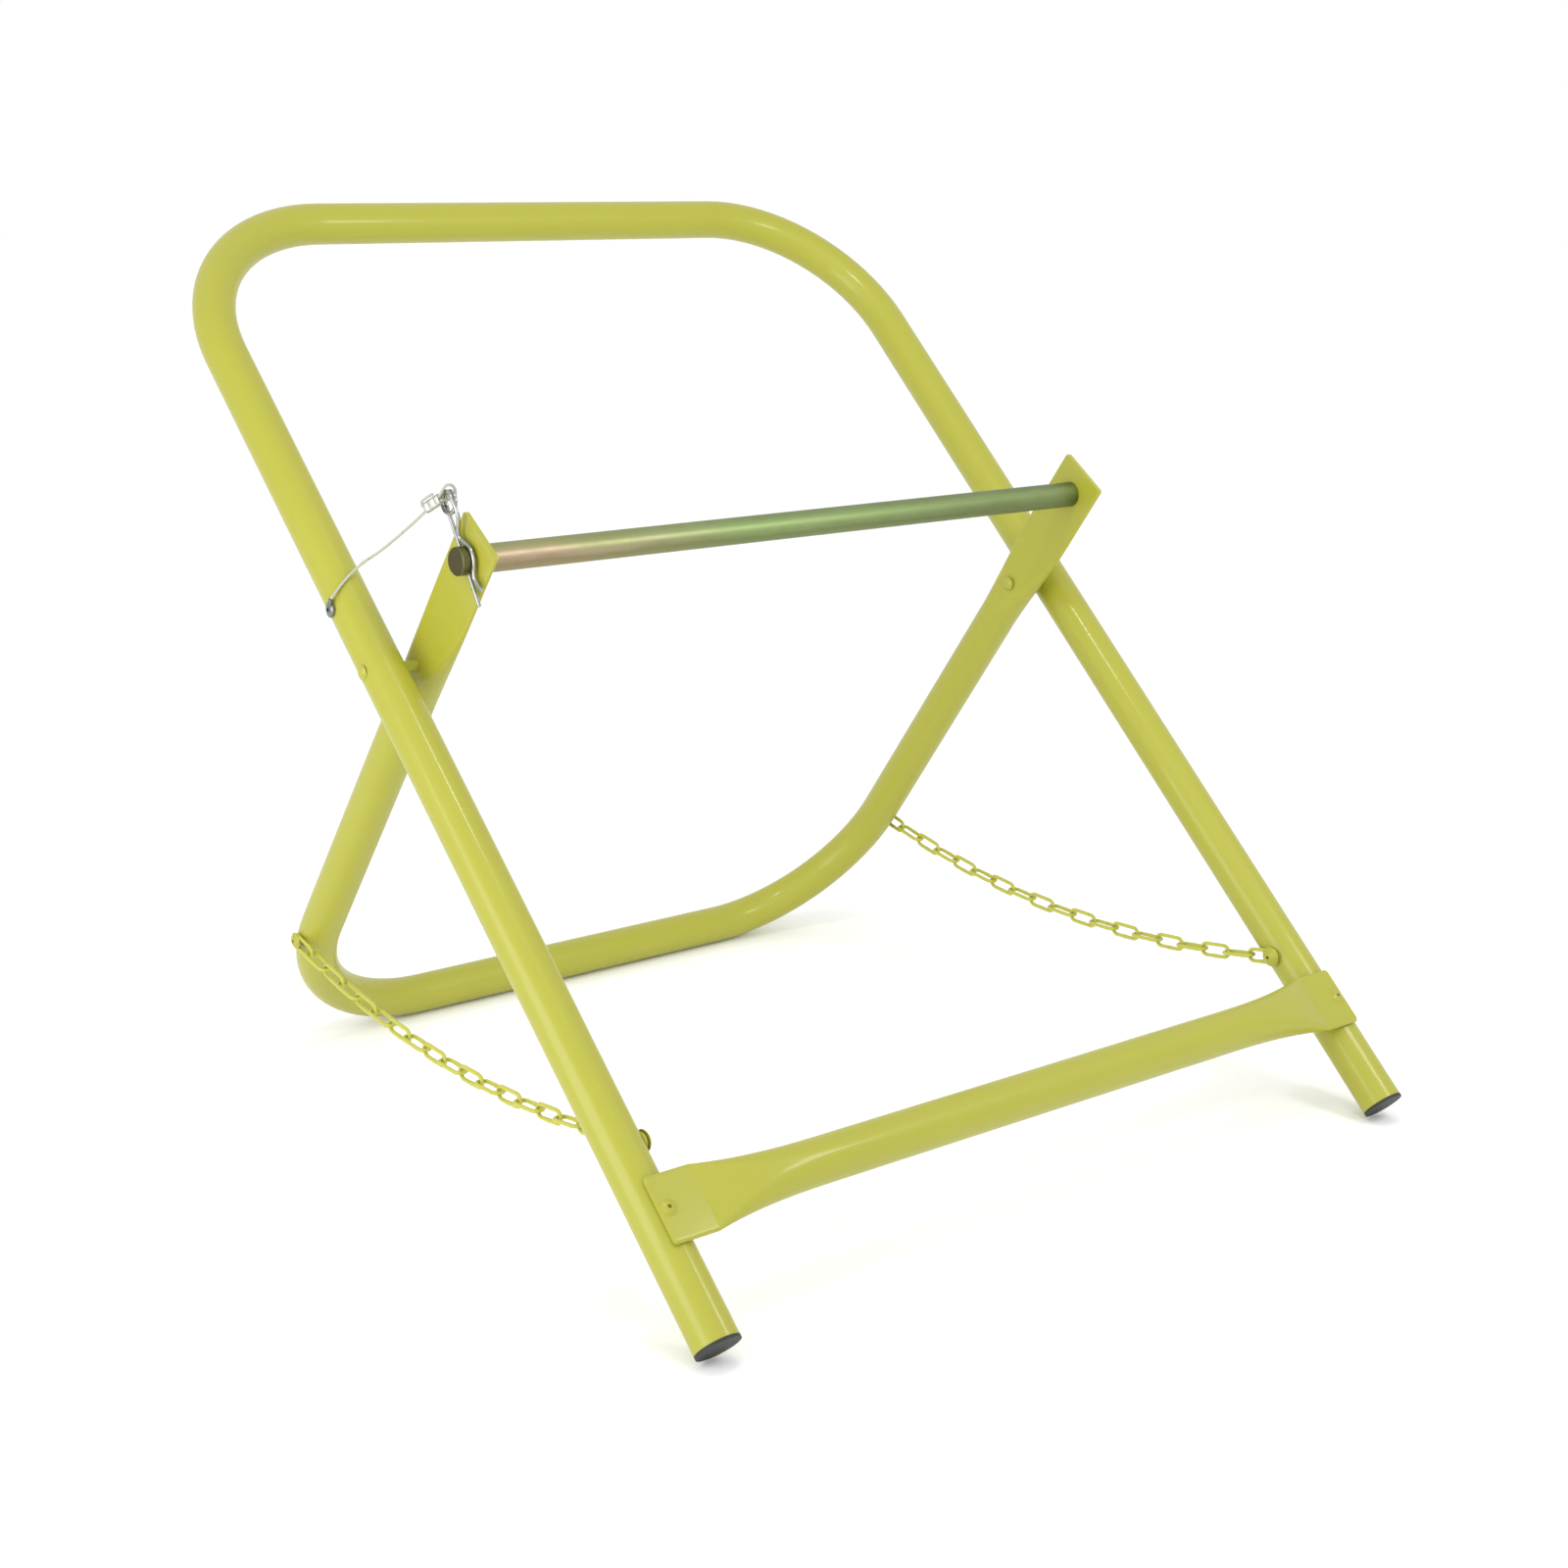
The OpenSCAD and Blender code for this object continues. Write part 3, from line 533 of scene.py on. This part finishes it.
# %% Crossbar from rings of one girth
tube, flat, frame_angle = 25.4, 3.0, math.radians(41.7)
half_length, crease_at, round_at, corner = 264.0, 236.7, 148.7, 1.4
girth_steps, swell_steps, swell_curve, crowding = 96, 44, 2.8, 1.3
corner_rings, crease_ring = (0, 0.1, 0.35, 0.7, 1.05, corner), crease_at + 0.4
foot, up_the_leg, off_the_leg = Vector((0, -284.728, 9.4823)), 71.0, 14.25


def pressed_size(x):
    """Thickness and width of the crossbar at x."""
    q = min(max((crease_at - abs(x)) / (crease_at - round_at), 0), 1)
    thick = tube - (tube - flat) * (1 - q) ** swell_curve
    short = max(corner - (half_length - abs(x)), 0)
    return thick, thick + math.pi * (tube - thick) / 2 - 2 * (corner - math.sqrt(corner ** 2 - short ** 2))


def girth_point(thick, wide, share):
    """Point at a share of the girth, from the middle of the lower side, as (along the leg, off the leg)."""
    half_side, turn = (wide - thick) / 2, math.pi * thick / 2
    walked = share * 2 * (2 * half_side + turn)
    if walked > half_side + turn + half_side:
        y, z = girth_point(thick, wide, share - 0.5)
        return -y, -z
    if walked < half_side:
        return walked, -thick / 2
    if walked < half_side + turn:
        a = (walked - half_side) / thick * 2
        return half_side + math.sin(a) * thick / 2, -math.cos(a) * thick / 2
    return 2 * half_side + turn - walked, thick / 2


def pressed_crossbar(name):
    stations = [half_length - d for d in corner_rings] + [crease_ring] + [
        crease_at - (crease_at - round_at) * (i / swell_steps) ** crowding for i in range(swell_steps + 1)]
    stations = [-x for x in stations] + stations[::-1]
    along_leg = Vector((0, math.cos(frame_angle), math.sin(frame_angle)))
    off_leg = Vector((0, -math.sin(frame_angle), math.cos(frame_angle)))
    middle = foot + up_the_leg * along_leg + off_the_leg * off_leg
    form = bmesh.new()
    rings = []
    for x in stations:
        size = pressed_size(x)
        rings.append([form.verts.new(MM * (middle + Vector((x, 0, 0)) + y * along_leg + z * off_leg))
                      for y, z in (girth_point(*size, k / girth_steps) for k in range(girth_steps))])
    for a, b in zip(rings, rings[1:]):
        for k in range(girth_steps):
            n = (k + 1) % girth_steps
            form.faces.new((a[k], a[n], b[n], b[k])).smooth = True
    for ring_points in (rings[0], rings[-1]):
        for edge in form.faces.new(ring_points).edges:
            edge.smooth = False
    bmesh.ops.recalc_face_normals(form, faces=form.faces)
    return piece_from(form, name)


crossbar = pressed_crossbar("pressed_crossbar")
crossbar.data.materials.append(paint)
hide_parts("crossbar")
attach(crossbar, "main")
print("crossbar rings:", len(crossbar.data.vertices) // girth_steps)

# %% [markdown]
# ## The welded chains
# A link is a rod bent to an oval and welded on one long side, where a little collar of metal stays.
# Neighbours stand a quarter turn apart, and the run hangs in a shallow arc. This is a rule with a
# few numbers, so geometry nodes build it: one oval, copied along the arc, turned at every other place.

# %% Starting a tree of geometry nodes
SOCKETS = {float: "NodeSocketFloat", int: "NodeSocketInt", "material": "NodeSocketMaterial"}


def new_shape_tree(name, inputs):
    """A tree with named inputs; its graph gives each input as a Number in graph.given."""
    tree = bpy.data.node_groups.new(name, "GeometryNodeTree")
    tree.interface.new_socket("Geometry", in_out="INPUT", socket_type="NodeSocketGeometry")
    for label, kind in inputs.items():
        tree.interface.new_socket(label, in_out="INPUT", socket_type=SOCKETS[kind])
    tree.interface.new_socket("Geometry", in_out="OUTPUT", socket_type="NodeSocketGeometry")
    graph = Graph(tree)
    start = graph.add("NodeGroupInput")
    graph.given = {label: start.out(label) for label in ("Geometry", *inputs)}
    graph.result = graph.add("NodeGroupOutput").node
    return tree, graph


def finish_shape(graph, shape):
    realized = graph.add("GeometryNodeRealizeInstances", {}, {0: shape}).out(0)
    smooth = graph.add("GeometryNodeSetShadeSmooth", {}, {0: realized}).out(0)
    coated = graph.add("GeometryNodeSetMaterial", {}, {
        "Geometry": smooth, "Material": graph.given["Material"]}).out(0)
    graph.tree.links.new(coated.socket, graph.result.inputs[0])


def grown(name, tree, values, base=None):
    """The plain mesh that a tree makes from its inputs, as a new piece with no modifier left on it."""
    seed = add_object(name + "_seed", base or bpy.data.meshes.new(name + "_seed"))
    modifier = seed.modifiers.new("grow", "NODES")
    modifier.node_group = tree
    for item in tree.interface.items_tree:
        if item.in_out == "INPUT" and item.name in values:
            modifier[item.identifier] = values[item.name]
    bpy.context.view_layer.update()
    evaluated = bpy.context.evaluated_depsgraph_get()
    mesh = bpy.data.meshes.new_from_object(seed.evaluated_get(evaluated), depsgraph=evaluated)
    bpy.data.objects.remove(seed)
    mesh.name = name
    return add_object(name, mesh)


# %% The tree of a run of links
link_inputs = {label: float for label in (
    "Pitch", "End Offset", "Arc Radius", "Start Angle", "Arc Y", "Arc Z", "Front X", "X Step",
    "Wire", "Width", "Length")}
run_tree, run = new_shape_tree("run_of_links", {
    "First": int, "Count": int, **link_inputs, "Material": "material"})
bend_share, bend_points, oval_points, rod_sides = 0.497, 8, 40, 12
weld_height, weld_taper = 0.16, 3.0
given = run.given
place = run.add("GeometryNodeInputIndex").out(0) + given["First"]
along = given["End Offset"] + place * given["Pitch"]
swing = given["Start Angle"] + along / given["Arc Radius"]
spot = run.add("ShaderNodeCombineXYZ", {}, {
    0: given["Front X"] + place * given["X Step"],
    1: given["Arc Y"] + given["Arc Radius"] * swing.function("SINE"),
    2: given["Arc Z"] - given["Arc Radius"] * swing.function("COSINE")}).out(0)
points = run.add("GeometryNodePoints", {}, {"Count": given["Count"], "Position": spot}).out(0)
lean = run.add("FunctionNodeEulerToRotation", {}, {
    0: run.add("ShaderNodeCombineXYZ", {}, {0: swing}).out(0)}).out(0)
quarter = run.add("FunctionNodeEulerToRotation", {}, {
    0: run.add("ShaderNodeCombineXYZ", {}, {1: (1 - place % 2) * (math.pi / 2)}).out(0)}).out(0)
turned = run.add("FunctionNodeRotateRotation", {"rotation_space": "LOCAL"}, {0: lean, 1: quarter}).out(0)
oval = run.add("GeometryNodeCurvePrimitiveQuadrilateral", {"mode": "RECTANGLE"}, {
    "Width": given["Width"] - given["Wire"], "Height": given["Length"] - given["Wire"]}).out(0)
oval = run.add("GeometryNodeFilletCurve", {"mode": "POLY"}, {
    "Curve": oval, "Radius": (given["Width"] - given["Wire"]) * bend_share, "Limit Radius": True,
    "Count": bend_points}).out(0)
oval = run.add("GeometryNodeResampleCurve", {}, {"Curve": oval, "Count": oval_points}).out(0)
apart = run.add("ShaderNodeSeparateXYZ", {}, {0: run.add("GeometryNodeInputPosition").out(0)})
from_weld = apart.out(1) / given["Wire"]
near_weld = (0 - from_weld * from_weld * weld_taper).function("EXPONENT")
weld = apart.out(0).function("GREATER_THAN", 0.0) * near_weld * weld_height
rod = run.add("GeometryNodeCurvePrimitiveCircle", {}, {
    "Resolution": rod_sides, "Radius": given["Wire"] / 2}).out(0)
link = run.add("GeometryNodeCurveToMesh", {}, {
    "Curve": oval, "Profile Curve": rod, "Scale": weld + 1.0}).out(0)
links = run.add("GeometryNodeInstanceOnPoints", {}, {
    "Points": points, "Instance": link, "Rotation": turned}).out(0)
finish_shape(run, links)
print("tree", run_tree.name, "with", len(run_tree.nodes), "nodes")

# %% Eight groups of links, each on its own body
link_wire, link_width, link_length, link_pitch, first_link_at = 2.4, 10, 24.6, 19.6, 7.4
groups = ((1, 0, 5), (2, 5, 5), (3, 10, 4), (4, 14, 5))
link_count = sum(count for _, _, count in groups)
front_anchor, rear_anchor = Vector((245.05, -199.985, 84.986)), Vector((243.205, 164.313, 87.891))
chord_angle, arc_radius, half_arc = math.radians(0.456868), 792.019, math.radians(13.2963)
arc_y = (front_anchor.y + rear_anchor.y) / 2 - arc_radius * math.cos(half_arc) * math.sin(chord_angle)
arc_z = (front_anchor.z + rear_anchor.z) / 2 + arc_radius * math.cos(half_arc) * math.cos(chord_angle)
for side_name, side in (("left", -1), ("right", 1)):
    for group, first, count in groups:
        piece = grown(f"welded_links_{side_name}_{group}", run_tree, {
            "First": first, "Count": count, "Pitch": link_pitch * MM, "End Offset": first_link_at * MM,
            "Arc Radius": arc_radius * MM, "Start Angle": chord_angle - half_arc, "Arc Y": arc_y * MM,
            "Arc Z": arc_z * MM, "Front X": side * front_anchor.x * MM,
            "X Step": side * (rear_anchor.x - front_anchor.x) / (link_count - 1) * MM,
            "Wire": link_wire * MM, "Width": link_width * MM, "Length": link_length * MM,
            "Material": chain_paint_painted_lighter})
        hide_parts(f"chain_{side_name}_{group}")
        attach(piece, f"chain_{side_name}_{group}_links")
    print(side_name, "chain:", link_count, "links,", len(piece.data.polygons) // count, "faces a link")

# %% [markdown]
# ## Bent wire
# The clip, the end loop of the lanyard and its short tail are all a round wire along a route. For the
# clip, a tree sweeps a circle along a curve and closes its ends. The other two show the coat's stripes
# too, so they come from the swept tube, whose map follows the route.

# %% The tree of a bent wire, and a curve for it to follow
wire_tree, sweep = new_shape_tree("bent_wire", {"Radius": float, "Material": "material"})
wire_sides = 16
ring = sweep.add("GeometryNodeCurvePrimitiveCircle", {}, {
    "Resolution": wire_sides, "Radius": sweep.given["Radius"]}).out(0)
swept = sweep.add("GeometryNodeCurveToMesh", {}, {
    "Curve": sweep.given["Geometry"], "Profile Curve": ring, "Fill Caps": True}).out(0)
finish_shape(sweep, swept)


def route_curve(name, route):
    curve = bpy.data.curves.new(name, "CURVE")
    curve.dimensions = "3D"
    line = curve.splines.new("POLY")
    line.points.add(len(route) - 1)
    for point, place_mm in zip(line.points, route):
        point.co = (*(place_mm * MM), 1)
    return curve


# %% The clip, the end loop and the tail
clip = grown("spring_clip_wire", wire_tree, {"Radius": clip_wire / 2 * MM, "Material": bright_zinc},
             route_curve("clip_route", clip_route))
loop_back = ferrule_high + lobe * ferrule_side
loop_route = [ferrule_high] + smooth_route([ferrule_high + lead * ferrule_along] + [
    coil_middle + Vector(p) for p in (
        (-1.5, 0.4, 1.6), (3.4, 0.8, 1.8), (5, 1.3, 5.4), (3.2, 1.6, 8.7), (-1.2, 1.2, 8.9))]
    + [loop_back + lead * ferrule_along]) + [loop_back]
tail_start = ferrule_low + lobe * ferrule_side
tail_route = smooth_route([tail_start + a * ferrule_along + b * ferrule_side for a, b in (
    (0, 0), (-0.8, 0), (-1.7, 0.6), (-2, 2), (-0.5, 3.3), (4, 3.5), (8, 3.2))], 5)
end_loop = swept_tube("lanyard_end_loop_wire", loop_route, cable_radius)
tail = swept_tube("lanyard_tail_wire", tail_route, tail_radius)
for piece in (end_loop, tail):
    piece.data.materials.append(cable_coat)
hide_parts("hitch_clip")
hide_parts("lanyard_end_loop")
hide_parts("lanyard_end_loop")
for piece, finish_slot in ((clip, "bright_zinc"), (end_loop, "cable_coat"), (tail, "cable_coat")):
    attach(piece, "clip_body")
print("clip faces:", len(clip.data.polygons))

# %% [markdown]
# ## The crimped ferrule
# A ferrule starts as a soft oval sleeve with both ends of the loop in it, and a hand press closes it
# in two or three bites. Each bite leaves a flat groove and pushes the metal out a little beside it. It is
# lofted here from oval rings, whose thickness follows the bites and drops a little at both mouths.

# %% Ferrule from oval rings
ferrule_more, ferrule_half_thick, bites = 0.7, 1.9, (0.3, 0.7)
bite_width, bite_depth, bite_bulge = 0.075, 0.2, 0.16
mouth, mouth_rings = 0.86, 1.5


def pressed_ferrule(name, low, along, side_way, length, half_thick, between):
    across_way = along.cross(side_way).normalized()
    form = bmesh.new()
    rings, steps, around = [], 36, 28
    for i in range(steps + 1):
        q = i / steps
        bite = sum(math.exp(-((q - b) / bite_width) ** 2) for b in bites)
        rounded = mouth + (1 - mouth) * min(1.0, min(q, 1 - q) * steps / mouth_rings)
        thick = half_thick * (1 - bite_depth * bite) * rounded
        reach = between / 2 + bite_bulge * bite
        ring_points = []
        for k in range(around):
            a = math.tau * k / around
            lift = math.cos(a) * half_thick * rounded + math.copysign(reach, math.cos(a))
            ring_points.append(form.verts.new(MM * (
                low + along * length * q + side_way * (between / 2 + lift)
                + across_way * math.sin(a) * thick)))
        rings.append(ring_points)
    for i in range(steps):
        for k in range(around):
            n = (k + 1) % around
            form.faces.new((rings[i][k], rings[i][n], rings[i + 1][n], rings[i + 1][k])).smooth = True
    form.faces.new(rings[0])
    form.faces.new(rings[-1])
    bmesh.ops.recalc_face_normals(form, faces=form.faces)
    return piece_from(form, name)


ferrule = pressed_ferrule("pressed_ferrule", ferrule_low - ferrule_more * ferrule_along, ferrule_along,
                          ferrule_side, ferrule_length + 2 * ferrule_more, ferrule_half_thick, lobe)
ferrule.data.materials.append(crimped)
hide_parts("lanyard_ferrule")
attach(ferrule, "clip_body")
print("ferrule points:", len(ferrule.data.vertices))

# %% [markdown]
# ## Studio
# A product shot like this uses a white floor and a bright surround, so its shadows stay faint. Where the
# lamps stood can be read from the glossy lines on the tubes, because each line is the mirror image of one
# lamp. Three soft boxes were placed by following those lines back: a large one on the left for the broad
# line on the long legs, a small one at the front right that also pales the flat end of the crossbar, and a
# small one overhead for the line on the crossbar and the top bar.

# %% Floor
floor_half, floor_z = 8.0, -0.0002
floor_mesh = bpy.data.meshes.new("studio_floor")
floor_mesh.from_pydata([(x * floor_half, y * floor_half, floor_z) for x, y in (
    (-1, -1), (1, -1), (1, 1), (-1, 1))], [], [(0, 1, 2, 3)])
floor = add_object("studio_floor", floor_mesh)
floor_paint, floor_graph, floor_shader = new_finish("studio_floor_white")
feed(floor_graph, floor_shader, Base_Color=(0.96, 0.96, 0.96, 1), Roughness=0.9)
floor_mesh.materials.append(floor_paint)

# %% Lights and surround
def soft_box(name, place, target, size, power):
    """A square lamp at place that faces target."""
    data = bpy.data.lights.new(name, "AREA")
    data.energy, data.size = power, size
    light = add_object(name, data)
    light.rotation_euler = (Vector(place) - Vector(target)).to_track_quat("Z", "Y").to_euler()
    light.location = place


soft_box("left_light", (-1.12, -0.12, 0.42), (-0.26, -0.05, 0.2), 0.6, 4.05)
soft_box("right_light", (0.36, -0.72, 0.79), (0.0, -0.1, 0.2), 0.22, 1.7)
soft_box("top_light", (-0.2, -0.31, 1.17), (0.0, 0.0, 0.2), 0.13, 1.3)
world = bpy.data.worlds.new("studio_surround")
bpy.context.scene.world = world
world.use_nodes = True
world.node_tree.nodes.clear()
surround = Graph(world.node_tree)
direction = surround.add("ShaderNodeSeparateXYZ", {}, {
    0: surround.add("ShaderNodeTexCoord").out("Generated")})
# The surround is brighter on the camera's side.
towards_camera = (direction.out(0) * -0.61 + direction.out(1) * -0.74 - 0.2).clamp()
backdrop = surround.add("ShaderNodeBackground", {}, {
    "Color": (1, 1, 1, 1), "Strength": 1.0 + 0.7 * towards_camera}).out(0)
surround.add("ShaderNodeOutputWorld", {}, {"Surface": backdrop})
bpy.context.scene.view_settings.view_transform = "Standard"
